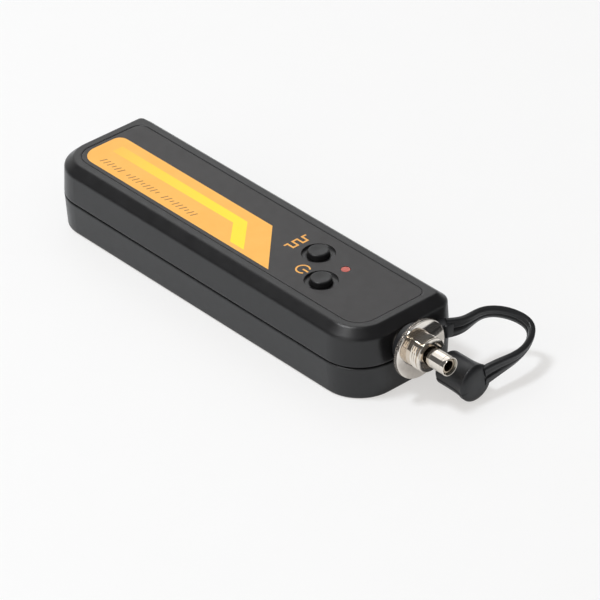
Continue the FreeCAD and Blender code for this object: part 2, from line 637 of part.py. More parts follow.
NODES = {
    "bottom_shell": bottom_shell,
    "top_shell": top_shell,
    "label_film": label_film,
    "battery_door": battery_door,
    "mode_button": mode_button,
    "power_button": power_button,
    "mode_switch": mode_switch,
    "power_switch": power_switch,
    "status_lamp": status_lamp,
    "circuit_board": circuit_board,
    "driver_chip": driver_chip,
    "smoothing_capacitor": smoothing_capacitor,
    "laser_barrel": laser_barrel,
    "laser_diode": laser_diode,
    "collimating_lens": collimating_lens,
    "adapter_body": adapter_body,
    "adapter_collar": adapter_collar,
    "ferrule_tube": ferrule_tube,
    "split_sleeve": split_sleeve,
    "cell_left": cell_left,
    "cell_right": cell_right,
    "bridge_plate": bridge_plate,
    "plate_left": plate_left,
    "plate_right": plate_right,
    "spring_far": spring_far,
    "spring_near": spring_near,
    "case_screw_1": screws[0],
    "case_screw_2": screws[1],
    "case_screw_3": screws[2],
    "case_screw_4": screws[3],
    "dust_cap": dust_cap,
}

os.makedirs("parts", exist_ok=True)
for node, obj in NODES.items():
    obj.Label = node
for obj in doc.Objects:
    bad = [s for s in obj.State if s in ("Invalid", "Error")]
    if bad:
        raise RuntimeError("%s is %s" % (obj.Name, bad))
for node, obj in NODES.items():
    shape = obj.Shape
    if shape.isNull() or not shape.isValid() or not shape.Solids:
        raise RuntimeError("%s has no valid solid" % node)
    shape.exportStep("parts/%s.step" % node)
    box = shape.BoundBox
    print("%-20s solids %d volume %9.2f  x %7.2f %7.2f  y %7.2f %7.2f  z %6.2f %6.2f" % (
        node, len(shape.Solids), shape.Volume, box.XMin, box.XMax, box.YMin, box.YMax, box.ZMin, box.ZMax))
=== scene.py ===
import math

import bpy
import numpy as np
from mathutils import Matrix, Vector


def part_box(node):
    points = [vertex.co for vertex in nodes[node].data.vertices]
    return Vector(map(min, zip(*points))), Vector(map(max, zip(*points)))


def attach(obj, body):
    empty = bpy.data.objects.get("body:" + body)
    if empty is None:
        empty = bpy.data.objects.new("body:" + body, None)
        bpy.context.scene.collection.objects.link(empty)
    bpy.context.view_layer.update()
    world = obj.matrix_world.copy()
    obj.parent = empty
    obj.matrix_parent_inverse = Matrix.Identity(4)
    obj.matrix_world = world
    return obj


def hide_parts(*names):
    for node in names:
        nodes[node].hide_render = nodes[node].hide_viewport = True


# A pocket visual fault locator for fibre links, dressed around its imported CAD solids.
# Lengths in this file are written in millimetres and turned to metres where a mesh is made.
# +X runs towards the fibre adapter, +Y to the far side, +Z up.

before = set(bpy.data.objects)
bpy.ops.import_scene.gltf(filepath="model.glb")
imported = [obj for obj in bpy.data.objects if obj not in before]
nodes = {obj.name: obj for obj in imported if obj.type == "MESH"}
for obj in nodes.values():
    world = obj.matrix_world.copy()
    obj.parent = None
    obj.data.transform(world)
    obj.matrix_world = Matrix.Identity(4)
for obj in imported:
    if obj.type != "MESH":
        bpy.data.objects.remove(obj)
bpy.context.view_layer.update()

MM = 0.001
TAU = 2 * math.pi
AXIS_Y, AXIS_Z = 0.0, 11.2        # optical axis of the adapter
CAP_Y, CAP_Z = 6.65, 4.42         # axis of the dust cap at rest
CELL_Y, CELL_Z = 5.45, 7.1        # axis of the far cell, and minus its Y for the near one
FILM_TOP = 16.98                  # upper face of the label film
RING_X, RING_Y = 22.9, -3.35      # centre of the printed power sign


# ---- surfaces ------------------------------------------------------------------------------------

def lay_grid(name, points, around=True, along=False, ends=(False, False)):
    """A mesh over a grid of points, rows by columns. `around` joins the last column to the first and
    `along` the last row to the first. A row marked in `ends` is a single point, a pole."""
    rows, cols = points.shape[:2]
    index = np.arange(rows * cols).reshape(rows, cols)
    if ends[0]:
        index[0] = index[0, 0]
    if ends[1]:
        index[-1] = index[-1, 0]
    if around:
        index = np.hstack([index, index[:, :1]])
    if along:
        index = np.vstack([index, index[:1]])
    quads = np.stack([index[:-1, :-1], index[:-1, 1:], index[1:, 1:], index[1:, :-1]], -1).reshape(-1, 4)
    used, quads = np.unique(quads, return_inverse=True)
    return mesh_of(name, points.reshape(-1, 3)[used], quads.reshape(-1, 4))


def capped(name, rings, first=None, last=None):
    """A mesh over rings of points, closed at both ends by a pole. A pole that isn't given is the
    middle of its ring."""
    first = rings[0].mean(0) if first is None else first
    last = rings[-1].mean(0) if last is None else last
    poles = [np.tile(point, (1, rings.shape[1], 1)) for point in (first, last)]
    return lay_grid(name, np.concatenate([poles[0], rings, poles[1]]), True, False, (True, True))


def squared(wave, power):
    """A sine or cosine with its size raised to a power below 1, which squares a circle off."""
    return np.sign(wave) * np.abs(wave) ** power


def mesh_of(name, corners, quads):
    """Mesh object from corner points in millimetres and four-sided faces. A face with a repeated
    corner becomes a triangle, and all faces are turned so that the closed volume is positive."""
    a, b, c, d = (corners[quads[:, k]] for k in range(4))
    volume = np.einsum("ij,ij->i", a, np.cross(b, c) + np.cross(c, d)).sum()
    if volume < 0:
        quads = quads[:, ::-1]
    faces = []
    whole = np.ones(len(quads), bool)
    for k in range(4):
        same = quads[:, k] == quads[:, (k + 1) % 4]
        whole &= ~same
        faces += np.delete(quads[same], k, 1).tolist()
    faces += quads[whole].tolist()
    mesh = bpy.data.meshes.new(name)
    mesh.from_pydata((corners * MM).tolist(), [], faces)
    mesh.polygons.foreach_set("use_smooth", np.ones(len(mesh.polygons), bool))
    mesh.set_sharp_from_angle(angle=math.radians(38))
    obj = bpy.data.objects.new(name, mesh)
    bpy.context.scene.collection.objects.link(obj)
    return obj


def softened(points, radius, steps, closed=False):
    """Every corner of a profile becomes a parabola arc, tangent to both sides, which starts and
    ends `radius` away from the corner, or halfway along a shorter side."""
    p = np.asarray(points, float)
    reach = np.broadcast_to(np.asarray(radius, float), len(p))[:, None]
    to_last = np.roll(p, 1, 0) - p
    to_next = np.roll(p, -1, 0) - p
    if not closed:
        to_last[0] = 0
        to_next[-1] = 0
    size_last = np.linalg.norm(to_last, axis=1, keepdims=True)
    size_next = np.linalg.norm(to_next, axis=1, keepdims=True)
    start = p + to_last * np.minimum(0.5, reach / np.maximum(size_last, 1e-9))
    end = p + to_next * np.minimum(0.5, reach / np.maximum(size_next, 1e-9))
    t = np.linspace(0, 1, steps)[None, :, None]
    arcs = (1 - t) ** 2 * start[:, None] + 2 * t * (1 - t) * p[:, None] + t ** 2 * end[:, None]
    if not closed:
        arcs[0] = p[0]
        arcs[-1] = p[-1]
        return np.vstack([p[:1], arcs[1:-1].reshape(-1, 2), p[-1:]])
    return arcs.reshape(-1, 2)


def dense(profile, spacing):
    """The same profile with points no further apart than `spacing`, laid along its sides."""
    step = np.linalg.norm(np.diff(profile, axis=0), axis=1)
    at = np.concatenate([[0], np.cumsum(np.maximum(step, 1e-9))])
    extra = np.arange(0, at[-1], spacing)
    s = np.unique(np.concatenate([at, extra]))
    return np.stack([np.interp(s, at, profile[:, 0]), np.interp(s, at, profile[:, 1])], 1)


def turned(name, profile, sides, centre, upright=False, closed=False, relief=None):
    """A profile of (distance along the axis, radius) turned about an axis along X or Z through
    `centre`. `relief` takes distance, radius and angle as grids and gives them changed."""
    t = np.arange(sides) * TAU / sides
    along, angle = np.meshgrid(profile[:, 0], t, indexing="ij")
    radius = profile[:, 1][:, None] + 0 * angle
    if relief:
        along, radius = relief(along, radius, angle)
    a = centre[0] + radius * np.cos(angle)
    b = centre[1] + radius * np.sin(angle)
    points = np.stack([a, b, along] if upright else [along, a, b], -1)
    ends = (profile[0, 1] < 1e-6, profile[-1, 1] < 1e-6)
    return lay_grid(name, points, True, closed, (False, False) if closed else ends)


def print_patch(name, left, right, low=FILM_TOP, high=FILM_TOP + 0.015):
    """A thin printed patch between two edge lines with the same number of points: the loop low
    left, high left, high right, low right is carried along the lines, and closed at both ends."""
    left = np.asarray(left, float)
    right = np.asarray(right, float)
    z = np.ones((len(left), 1))
    loop = np.stack([np.hstack([left, z * low]), np.hstack([left, z * high]),
                     np.hstack([right, z * high]), np.hstack([right, z * low])], 1)
    return capped(name, loop)


def pen_line(name, path, width, joined=False):
    """A printed line of constant width: each edge is the path moved sideways along the mitre of
    the two neighbouring runs. `joined` closes it into a ring."""
    p = np.asarray(path, float)
    before = p - np.roll(p, 1, 0)
    after = np.roll(p, -1, 0) - p
    if not joined:
        before[0] = after[0]
        after[-1] = before[-1]
    before /= np.linalg.norm(before, axis=1, keepdims=True)
    after /= np.linalg.norm(after, axis=1, keepdims=True)
    mitre = before + after
    mitre /= np.linalg.norm(mitre, axis=1, keepdims=True)
    cos_half = np.maximum(np.einsum("ij,ij->i", mitre, before), 0.3)[:, None]
    offset = np.stack([-mitre[:, 1], mitre[:, 0]], 1) * width / 2 / cos_half
    return print_patch(name, p + offset, p - offset)


def strokes(name, x, y, width, height, slant):
    """Many small slanted printed strokes: one flat six-sided block for each x, all in one mesh."""
    n = len(x)
    sx = np.array([-1, 1, 1, -1, -1, 1, 1, -1]) * 0.5
    sy = np.array([-1, -1, 1, 1, -1, -1, 1, 1]) * 0.5
    up = np.array([0, 0, 0, 0, 1, 1, 1, 1])
    px = x[:, None] + sx * width + sy * height[:, None] * slant
    py = y + sy * height[:, None] + 0 * px
    pz = FILM_TOP + 0.012 + up * 0.012 + 0 * px
    block = np.array([[0, 3, 2, 1], [4, 5, 6, 7], [0, 1, 5, 4], [1, 2, 6, 5], [2, 3, 7, 6], [3, 0, 4, 7]])
    quads = (np.arange(n)[:, None, None] * 8 + block).reshape(-1, 4)
    return mesh_of(name, np.stack([px, py, pz], -1).reshape(-1, 3), quads)


def natural_curve(stations, count):
    """A smooth curve through stations: a natural cubic spline over their chord lengths, solved for
    its second derivatives. Returns points and unit tangents."""
    p = np.asarray(stations, float)
    h = np.linalg.norm(np.diff(p, axis=0), axis=1)
    at = np.concatenate([[0], np.cumsum(h)])
    n = len(p)
    system = np.eye(n)
    right = np.zeros_like(p)
    i = np.arange(1, n - 1)
    system[i, i - 1] = h[:-1]
    system[i, i] = 2 * (h[:-1] + h[1:])
    system[i, i + 1] = h[1:]
    slope = np.diff(p, axis=0) / h[:, None]
    right[1:-1] = 6 * np.diff(slope, axis=0)
    bend = np.linalg.solve(system, right)
    s = np.linspace(0, at[-1], count)
    k = np.clip(np.searchsorted(at, s, side="right") - 1, 0, n - 2)
    u = (s - at[k])[:, None]
    w = (at[k + 1] - s)[:, None]
    g = h[k][:, None]
    curve = (bend[k] * w ** 3 + bend[k + 1] * u ** 3) / (6 * g)
    curve += (p[k] / g - bend[k] * g / 6) * w + (p[k + 1] / g - bend[k + 1] * g / 6) * u
    tangent = np.gradient(curve, axis=0)
    tangent /= np.linalg.norm(tangent, axis=1, keepdims=True)
    return curve, tangent


def wire(name, line, radius, sides=10):
    """Round wire along a line: circles square to the line, each laid out on a direction square to
    X and on the one square to both."""
    tangent = np.gradient(line, axis=0)
    tangent /= np.linalg.norm(tangent, axis=1, keepdims=True)
    side = np.cross(tangent, [1.0, 0.0, 0.0])
    side /= np.linalg.norm(side, axis=1, keepdims=True)
    up = np.cross(side, tangent)
    t = np.arange(sides) * TAU / sides
    ring = (np.cos(t)[None, :, None] * side[:, None] + np.sin(t)[None, :, None] * up[:, None]) * radius
    return capped(name, line[:, None] + ring, line[0], line[-1])


# ---- materials -----------------------------------------------------------------------------------

class Finish:
    """A node material built step by step around one Principled shader."""

    def __init__(self, name, colour, roughness, metallic=0.0, **fixed):
        self.material = bpy.data.materials.new(name)
        self.material.use_nodes = True
        self.tree = self.material.node_tree
        self.shader = self.tree.nodes["Principled BSDF"]
        self.shader.inputs["Base Color"].default_value = (*colour, 1)
        self.shader.inputs["Roughness"].default_value = roughness
        self.shader.inputs["Metallic"].default_value = metallic
        for key, value in fixed.items():
            self.shader.inputs[key.replace("_", " ")].default_value = value
        self.place = self.add("ShaderNodeTexCoord").outputs["Object"]
        self.last_normal = None

    def add(self, kind, **settings):
        node = self.tree.nodes.new(kind)
        for key, value in settings.items():
            setattr(node, key, value)
        return node

    def link(self, source, target):
        self.tree.links.new(source, target)

    def noise(self, per_metre, detail=4.0, rough=0.55):
        node = self.add("ShaderNodeTexNoise")
        node.inputs["Scale"].default_value = per_metre
        node.inputs["Detail"].default_value = detail
        node.inputs["Roughness"].default_value = rough
        self.link(self.place, node.inputs["Vector"])
        return node.outputs["Fac"]

    def axis(self, letter):
        split = self.add("ShaderNodeSeparateXYZ")
        self.link(self.place, split.inputs["Vector"])
        return split.outputs[letter]

    def math(self, operation, first, second=None, third=None):
        node = self.add("ShaderNodeMath", operation=operation)
        for socket, value in zip(node.inputs, (first, second, third)):
            if isinstance(value, (int, float)):
                socket.default_value = value
            elif value is not None:
                self.link(value, socket)
        return node.outputs[0]

    def radius_from(self, y, z):
        """Distance from the line along X through y and z, in metres."""
        dy = self.math("SUBTRACT", self.axis("Y"), y * MM)
        dz = self.math("SUBTRACT", self.axis("Z"), z * MM)
        total = self.math("ADD", self.math("MULTIPLY", dy, dy), self.math("MULTIPLY", dz, dz))
        return self.math("SQRT", total)

    def ramp(self, factor, stops):
        node = self.add("ShaderNodeValToRGB")
        elements = node.color_ramp.elements
        while len(elements) < len(stops):
            elements.new(0.5)
        for element, (at, colour) in zip(elements, stops):
            element.position = at
            element.color = (*colour, 1)
        self.link(factor, node.inputs["Fac"])
        return node.outputs["Color"]

    def colour(self, factor, stops):
        self.link(self.ramp(factor, stops), self.shader.inputs["Base Color"])
        return self

    def gloss(self, factor, low, high):
        node = self.add("ShaderNodeMapRange")
        node.inputs["To Min"].default_value = low
        node.inputs["To Max"].default_value = high
        self.link(factor, node.inputs["Value"])
        self.link(node.outputs["Result"], self.shader.inputs["Roughness"])
        return self

    def eased(self, radius):
        """Shades every sharp edge as if it were rounded by `radius` millimetres."""
        node = self.add("ShaderNodeBevel", samples=6)
        node.inputs["Radius"].default_value = radius * MM
        self.last_normal = node.outputs["Normal"]
        return self

    def bump(self, factor, height, strength=1.0):
        """Raises the surface by at most `height` millimetres."""
        node = self.add("ShaderNodeBump")
        node.inputs["Strength"].default_value = strength
        node.inputs["Distance"].default_value = height * MM
        self.link(factor, node.inputs["Height"])
        if self.last_normal:
            self.link(self.last_normal, node.inputs["Normal"])
        self.last_normal = node.outputs["Normal"]
        self.link(self.last_normal, self.shader.inputs["Normal"])
        return self


def shades(colour, spread):
    """Two stops a little darker and lighter than a colour."""
    low = tuple(c * (1 - spread) for c in colour)
    high = tuple(min(c * (1 + spread), 1) for c in colour)
    return [(0.3, low), (0.7, high)]


def moulded(name, colour, roughness, grain, height, spread=0.12, edge=0.0):
    """Moulded plastic or rubber: fine erosion grain, slow tone changes and uneven gloss. `edge` is
    the radius, in millimetres, by which its sharp edges are eased."""
    f = Finish(name, colour, roughness)
    if edge:
        f.eased(edge)
    f.colour(f.noise(160, 3), shades(colour, spread))
    f.gloss(f.noise(420, 5), roughness - 0.06, roughness + 0.08)
    f.bump(f.noise(grain, 2, rough=0.7), height)
    return f


def metal(name, colour, roughness, centre=None, pitch=0.05, height=0.0006):
    """Machined metal: fine lathe rings round the axis where there is one, and handling marks."""
    f = Finish(name, colour, roughness, 1.0)
    f.colour(f.noise(700, 5), shades(colour, 0.06))
    f.gloss(f.noise(1500, 6), roughness * 0.6, roughness * 1.6)
    if centre:
        path = f.math("ADD", f.axis("X"), f.radius_from(*centre))
        rings = f.math("SINE", f.math("MULTIPLY", path, TAU / (pitch * MM)))
        f.bump(rings, height, 0.5)
    f.bump(f.noise(5200, 3), height)
    return f


shell_finish = moulded("shell_moulded_abs", (0.0095, 0.0092, 0.0098), 0.33, 6500, 0.006, 0.15, 0.7)
door_finish = moulded("door_moulded_abs", (0.022, 0.022, 0.0235), 0.40, 6000, 0.006)
film_finish = moulded("label_film_satin", (0.019, 0.0172, 0.0176), 0.39, 9000, 0.004, 0.08)
button_finish = moulded("button_soft_touch", (0.012, 0.012, 0.0125), 0.40, 7500, 0.005)
switch_finish = moulded("switch_housing", (0.05, 0.05, 0.055), 0.45, 5000, 0.004)
chip_finish = moulded("chip_epoxy", (0.028, 0.028, 0.03), 0.55, 9000, 0.006)
collar_finish = moulded("collar_nylon", (0.62, 0.60, 0.54), 0.45, 4000, 0.006)
cap_finish = moulded("cap_rubber", (0.0115, 0.0118, 0.0130), 0.38, 5200, 0.006, 0.2)
cap_finish.bump(cap_finish.noise(900, 3), 0.012, 0.5)

orange_ink = Finish("orange_print", (0.93, 0.46, 0.08), 0.42)
orange_ink.colour(orange_ink.noise(260, 4), [(0.25, (0.90, 0.44, 0.068)), (0.75, (0.95, 0.475, 0.085))])
orange_ink.gloss(orange_ink.noise(900, 5), 0.36, 0.48).bump(orange_ink.noise(9000, 2), 0.003)
yellow_ink = Finish("yellow_print", (0.97, 0.74, 0.02), 0.42)
run = yellow_ink.math("MULTIPLY_ADD", yellow_ink.axis("X"), 21.0, 0.92)
yellow_ink.colour(run, [(0.0, (0.93, 0.50, 0.06)), (0.30, (0.95, 0.62, 0.04)), (0.85, (0.97, 0.73, 0.02))])
yellow_ink.gloss(yellow_ink.noise(900, 5), 0.36, 0.48).bump(yellow_ink.noise(9000, 2), 0.003)
brown_ink = Finish("brown_print", (0.20, 0.09, 0.02), 0.45)
brown_ink.colour(brown_ink.noise(5000, 4), [(0.3, (0.20, 0.085, 0.02)), (0.75, (0.46, 0.22, 0.05))])
brown_ink.gloss(brown_ink.noise(3000, 3), 0.4, 0.5)
symbol_ink = Finish("symbol_print", (0.86, 0.42, 0.08), 0.45)
symbol_ink.colour(symbol_ink.noise(3500, 4), [(0.25, (0.74, 0.33, 0.06)), (0.75, (0.93, 0.48, 0.10))])
symbol_ink.gloss(symbol_ink.noise(3000, 3), 0.4, 0.5)

nickel = metal("nickel_plate", (0.80, 0.74, 0.665), 0.085, (AXIS_Y, AXIS_Z), 0.06, 0.0004)
mirror_nickel = metal("nickel_face", (0.82, 0.765, 0.70), 0.06, (AXIS_Y, AXIS_Z), 0.09, 0.00012)
# darker nickel for the knurled rim than for the flange: painted shade of the knurl
knurl_shade_nickel = metal("nickel_rim_painted_shade", (0.30, 0.275, 0.25), 0.24)
brass = metal("laser_brass", (0.80, 0.56, 0.24), 0.24, (AXIS_Y, AXIS_Z), 0.10, 0.0012)
diode_gold = metal("diode_gilt", (0.86, 0.66, 0.34), 0.2, (AXIS_Y, AXIS_Z))
# darker nickel for the bore inside the tube's mouth: painted shade
bore_shade_nickel = metal("nickel_bore_painted_shade", (0.34, 0.305, 0.25), 0.17, (AXIS_Y, AXIS_Z))
sleeve_bronze = metal("sleeve_bronze", (0.42, 0.35, 0.27), 0.26, (AXIS_Y, AXIS_Z))
screw_steel = metal("screw_black_zinc", (0.16, 0.16, 0.165), 0.34)
contact_nickel = metal("contact_nickel", (0.72, 0.71, 0.68), 0.26)

lens_glass = Finish("lens_glass", (0.97, 0.98, 1.0), 0.02, Transmission_Weight=1.0, IOR=1.52)
lens_glass.gloss(lens_glass.noise(900, 2), 0.01, 0.04)
lamp_resin = Finish("lamp_resin", (0.75, 0.12, 0.08), 0.2, Transmission_Weight=0.35, IOR=1.5)
lamp_resin.colour(lamp_resin.noise(1500, 3), [(0.3, (0.62, 0.07, 0.05)), (0.8, (0.82, 0.16, 0.10))])
lamp_resin.gloss(lamp_resin.noise(2500, 3), 0.14, 0.26)

board_mask = Finish("board_mask", (0.02, 0.16, 0.06), 0.32)
tracks = board_mask.math("LESS_THAN", board_mask.math("FRACT", board_mask.math(
    "MULTIPLY", board_mask.axis("Y"), 700.0)), 0.35)
board_mask.colour(board_mask.math("MULTIPLY_ADD", tracks, 0.4, board_mask.noise(1200, 4)),
                  [(0.35, (0.012, 0.10, 0.04)), (0.95, (0.035, 0.22, 0.085))])
board_mask.gloss(board_mask.noise(3000, 3), 0.26, 0.4).bump(tracks, 0.02, 0.6)

capacitor_can = metal("capacitor_can", (0.75, 0.76, 0.78), 0.22, (-3.6, 13.5))
cell_wrap = Finish("cell_wrap", (0.03, 0.03, 0.035), 0.28, Coat_Weight=0.3, Coat_Roughness=0.1)
cell_band = cell_wrap.math("MULTIPLY_ADD", cell_wrap.axis("X"), 20.0, 1.0)
cell_wrap.colour(cell_wrap.math("ADD", cell_band, cell_wrap.math("MULTIPLY", cell_wrap.noise(300, 3), 0.02)),
                 [(0.0, (0.025, 0.027, 0.034)), (0.665, (0.028, 0.030, 0.038)), (0.675, (0.62, 0.34, 0.13)),
                  (1.0, (0.70, 0.40, 0.16))])
cell_wrap.gloss(cell_wrap.noise(800, 4), 0.22, 0.36).bump(cell_wrap.noise(2500, 3), 0.01, 0.6)
cell_steel = metal("cell_steel", (0.70, 0.69, 0.66), 0.2)


def wear(*names_and_finish):
    """Puts one finish on CAD nodes that stay shown."""
    *names, finish = names_and_finish
    for name in names:
        mesh = nodes[name].data
        mesh.materials.clear()
        mesh.materials.append(finish.material)


def dress(obj, finish, body, slot, *stands_for):
    """Gives a new piece its finish and its place in the frame."""
    obj.data.materials.append(finish.material)
    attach(obj, body)
    if stands_for:
        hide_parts(*stands_for)
    return obj


wear("bottom_shell", "top_shell", shell_finish)
wear("label_film", film_finish)
wear("battery_door", door_finish)
wear("mode_switch", "power_switch", switch_finish)
wear("status_lamp", lamp_resin)
wear("circuit_board", board_mask)
wear("driver_chip", chip_finish)
wear("smoothing_capacitor", capacitor_can)
wear("laser_barrel", brass)
wear("laser_diode", diode_gold)
wear("collimating_lens", lens_glass)
wear("adapter_collar", collar_finish)
wear("split_sleeve", sleeve_bronze)
wear("bridge_plate", "plate_left", "plate_right", contact_nickel)
wear("case_screw_1", "case_screw_2", "case_screw_3", "case_screw_4", screw_steel)


# ---- label print ---------------------------------------------------------------------------------

def orange_panel():
    """Orange field: for each Y from the near edge to the far edge, one stretch in X. Its left end
    follows a quarter circle at each rounded corner, and its right end runs back at 45 degrees."""
    low, high = -8.85, 3.25
    near_corner, far_corner = 4.3, 2.2
    y = low + (high - low) * (1 - np.cos(np.linspace(0, math.pi, 61))) / 2
    near = np.clip(low + near_corner - y, 0, near_corner)
    far = np.clip(y - (high - far_corner), 0, far_corner)
    near_cut = near_corner - np.sqrt(near_corner ** 2 - near ** 2)
    left = -46.5 + near_cut + (far_corner - np.sqrt(far_corner ** 2 - far ** 2))
    right = 5.5 + (high - y) * 1.02
    return print_patch("orange_panel", np.stack([left, y], 1), np.stack([right, y], 1))


def yellow_stripe():
    """Yellow elbow: a stripe along the case, which then turns towards the near edge."""
    outer = [(-42.6, 0.5), (0.55, 0.35), (8.4, -7.6)]
    inner = [(-42.6, -2.4), (-1.4, -2.15), (3.9, -7.6)]
    return print_patch("yellow_stripe", outer, inner, FILM_TOP + 0.01, FILM_TOP + 0.022)


def scale_strokes():
    """A plain row of slanted scale strokes, every fourth one short, in three groups."""
    x = np.arange(26) * 1.25 - 41.0
    keep = (np.arange(26) % 10) != 6
    height = np.where(np.arange(26) % 4 == 3, 1.0, 1.7)
    return strokes("scale_strokes", x[keep], -6.3, 0.32, height[keep], 0.35)


def pulse_mark():
    """Square pulse sign beside the mode button."""
    steps = np.array([(0, 0), (1.2, 0), (1.2, 1), (2.6, 1), (2.6, 0),
                      (4.0, 0), (4.0, 1), (5.4, 1), (5.4, 0), (6.4, 0)])
    path = np.stack([13.2 + 1.9 * steps[:, 1], 6.2 - steps[:, 0]], 1)
    return pen_line("pulse_mark", path, 0.46)


def power_ring():
    """Open ring of the power sign beside the power button: an arc of 280 degrees."""
    t = np.linspace(math.radians(40), math.radians(320), 41)
    return pen_line("power_ring", np.stack([RING_X + 1.5 * np.cos(t), RING_Y + 1.5 * np.sin(t)], 1), 0.42)


dress(orange_panel(), orange_ink, "case", "label")
dress(yellow_stripe(), yellow_ink, "case", "label")
dress(scale_strokes(), brown_ink, "case", "label")
dress(pulse_mark(), symbol_ink, "case", "label")
dress(power_ring(), symbol_ink, "case", "label")
bar = [(RING_X, RING_Y), (RING_X + 1.7, RING_Y)]
dress(pen_line("power_bar", bar, 0.42), symbol_ink, "case", "label")


# ---- buttons -------------------------------------------------------------------------------------

def key_cap(name, x, y):
    """Round key turned about its own axis: flanged foot, straight side, soft rim, dished top."""
    profile = softened([(14.75, 0), (14.75, 3.1), (15.35, 3.1), (15.35, 2.4), (17.9, 2.4), (17.9, 0)],
                       [0, 0.1, 0.1, 0.1, 0.45, 0], 8)

    def dish(z, r, angle):
        return z - np.where(z > 17.2, 0.16 * np.exp(-(r / 1.5) ** 2), 0), r

    return turned(name, dense(profile, 0.12), 96, (x, y), upright=True, relief=dish)


mode_low, mode_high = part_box("mode_button")
power_low, power_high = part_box("power_button")
mode_at = (mode_low + mode_high) / 2 / MM
power_at = (power_low + power_high) / 2 / MM
dress(key_cap("mode_key_cap", mode_at.x, mode_at.y), button_finish, "mode_key", "buttons", "mode_button")
dress(key_cap("power_key_cap", power_at.x, power_at.y), button_finish, "power_key", "buttons", "power_button")


# ---- fibre adapter -------------------------------------------------------------------------------

def flange_face():
    """Polished front of the adapter flange: a flat disc with a thin, softly chamfered lip."""
    outline = [(55.40, 3.5), (55.40, 6.5), (56.02, 6.5), (56.06, 6.84), (56.36, 6.80), (56.36, 3.5)]
    profile = softened(outline, [0, 0, 0, 0.12, 0.10, 0], 7, closed=True)
    return turned("flange_face", profile, 288, (AXIS_Y, AXIS_Z), closed=True)


def flange_rim():
    """Knurled rim behind the flange's front: the radius is cut by two crossing sets of 84 helical
    grooves, and the knurl runs out towards both edges."""
    crest = 6.88
    outline = [(55.30, 6.1), (55.30, crest), (56.04, crest), (56.04, 6.1)]
    profile = softened(outline, [0, 0.08, 0.05, 0], 4, closed=True)
    at = np.linspace(55.36, 56.0, 12)
    on_rim = (profile[:, 1] > crest - 0.01) & (profile[:, 0] > 55.3)
    first = int(np.argmax(on_rim))
    rest = profile[~on_rim]
    profile = np.vstack([rest[:first], np.stack([at, np.full(12, crest)], 1), rest[first:]])

    def knurl(x, r, angle):
        lean = (x - 55.66) * 5.4
        one = np.abs(np.sin(42 * angle + lean))
        two = np.abs(np.sin(42 * angle - lean))
        return x, r - np.clip((r - 6.8) / 0.06, 0, 1) * 0.20 * (1 - np.minimum(one, two)) ** 1.2

    return turned("flange_rim", profile, 840, (AXIS_Y, AXIS_Z), closed=True, relief=knurl)


def threaded_barrel():
    """Neck and barrel round the tube. Behind a plain length by the flange the thread is a groove
    that advances one pitch a turn; a relief groove and a rounded end ring follow. A key way is
    milled into the far side."""
    ring = softened([(58.74, 3.86), (58.80, 3.62), (58.96, 3.62), (59.02, 4.0), (59.45, 4.0), (59.45, 3.05)],
                    [0, 0.05, 0.05, 0.16, 0.2, 0], 7)
    back = softened([(59.45, 3.05), (58.25, 3.05), (58.25, 2.16), (46.0, 2.16), (46.0, 3.6),
                     (56.3, 3.6), (56.34, 3.86)], [0, 0.05, 0.02, 0.02, 0.1, 0, 0], 5)
    barrel = np.stack([np.linspace(56.36, 58.72, 96), np.full(96, 3.9)], 1)
    profile = np.vstack([barrel, ring, back[1:]])
    pitch = 0.60
    way_half_angle, way_back = 0.245, 57.85

    def cut(x, r, angle):
        wave = np.abs(((x - 56.36) / pitch - angle / TAU) % 1.0 - 0.5) * 2
        fade = np.clip((x - 56.95) / 0.25, 0, 1) * np.clip((58.66 - x) / 0.12, 0, 1)
        on_thread = (r > 3.88) & (r < 3.95) & (x > 56.3) & (x < 58.73)
        r = np.where(on_thread, 3.84 + fade * (0.16 - 0.44 * (1 - wave)), r)
        reach = np.abs(np.mod(angle + math.pi, TAU) - math.pi)
        way = np.clip((way_half_angle - reach) / 0.02, 0, 1)
        x = np.where((r > 3.0) & (x > way_back), x - way * (x - way_back), x)
        return x, r

    return turned("threaded_barrel", profile, 256, (AXIS_Y, AXIS_Z), closed=True, relief=cut)


SLEEVE_BACK = 53.55               # where the tube's bore widens for the split sleeve


def ferrule_guide():
    """Guide tube: soft front edge, a mouth that narrows inwards, and a fine ring groove."""
    outline = [(46.4, 0.9), (46.4, 2.15), (64.0, 2.15), (64.06, 2.11), (64.14, 2.11), (64.2, 2.15),
               (65.25, 2.15), (65.25, 1.98), (64.93, 1.62), (SLEEVE_BACK, 1.62), (SLEEVE_BACK, 0.9)]
    reach = [0.05, 0.05, 0, 0, 0, 0, 0.13, 0.04, 0.05, 0.03, 0.03]
    profile = softened(outline, reach, 7, closed=True)
    return turned("ferrule_guide", profile, 160, (AXIS_Y, AXIS_Z), closed=True)


def shade_painted_bore(guide, radius):
    """The tube's bore in front of its shoulder takes a darker nickel colour, painted shade inside the mouth:
    the faces nearer to the axis than `radius` millimetres."""
    mesh = guide.data
    mesh.materials.append(bore_shade_nickel.material)
    centre = np.empty(len(mesh.polygons) * 3)
    mesh.polygons.foreach_get("center", centre)
    x, y, z = centre.reshape(-1, 3).T / MM
    inside = (np.hypot(y - AXIS_Y, z - AXIS_Z) < radius) & (x > SLEEVE_BACK + 0.05)
    mesh.polygons.foreach_set("material_index", inside.astype(np.int32))
    return guide


dress(flange_face(), mirror_nickel, "case", "nickel", "adapter_body")
dress(flange_rim(), knurl_shade_nickel, "case", "nickel", "adapter_body")
dress(threaded_barrel(), nickel, "case", "nickel", "adapter_body")
shade_painted_bore(dress(ferrule_guide(), nickel, "case", "nickel", "ferrule_tube"), 1.975)


# ---- dust cap, strap and eye ---------------------------------------------------------------------

